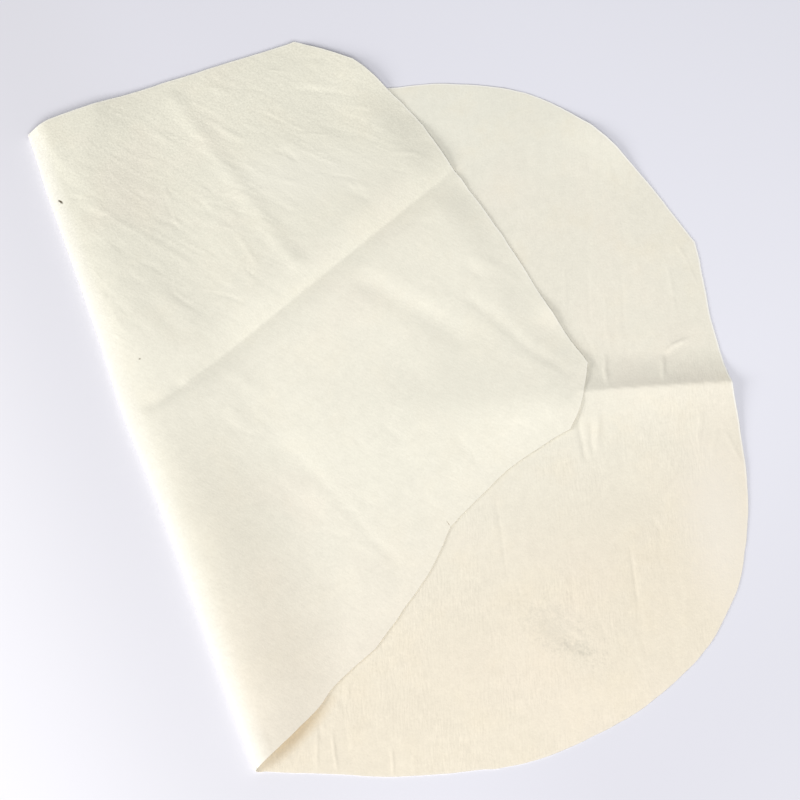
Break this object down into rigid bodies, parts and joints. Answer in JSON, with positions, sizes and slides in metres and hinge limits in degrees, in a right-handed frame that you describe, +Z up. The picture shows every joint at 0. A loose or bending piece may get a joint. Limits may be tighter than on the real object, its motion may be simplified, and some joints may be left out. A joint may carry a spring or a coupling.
{
  "type": "car drying leather",
  "caption": "Natural chamois skin with a free-form cut edge, folded over once and laid flat; the upper flap turns over on the rolled fold until the skin lies open.",
  "frame": {"origin": "on the table, under the middle of the folded skin's box", "axes": "+Z up, +Y along the fold towards its far end, +X from the fold towards the free edges"},
  "size_m": [0.4186, 0.556, 0.0097],
  "materials": {
    "chamois": "matt suede nap on both faces, raw cut edge"
  },
  "bodies": {
    "base": {"base_far_panel": "chamois", "base_near_panel": "chamois", "base_crease_ridge": "chamois", "roll_strip_1": "chamois"},
    "roll": {"roll_strip_2": "chamois", "roll_strip_3": "chamois"},
    "flap": {"roll_strip_4": "chamois", "roll_strip_5": "chamois", "flap_far_panel": "chamois", "flap_middle_panel": "chamois", "flap_near_panel": "chamois"}
  },
  "joints": [
    {"name": "fold_lower", "type": "hinge", "parent": "base", "child": "roll", "pos_m": [-0.2088, 0, 0.00196], "axis": [0, -1, 0], "range_deg": [0, 90]},
    {"name": "fold_upper", "type": "hinge", "parent": "roll", "child": "flap", "pos_m": [-0.20699, 0, 0.00622], "axis": [0, -1, 0], "range_deg": [0, 90]}
  ]
}
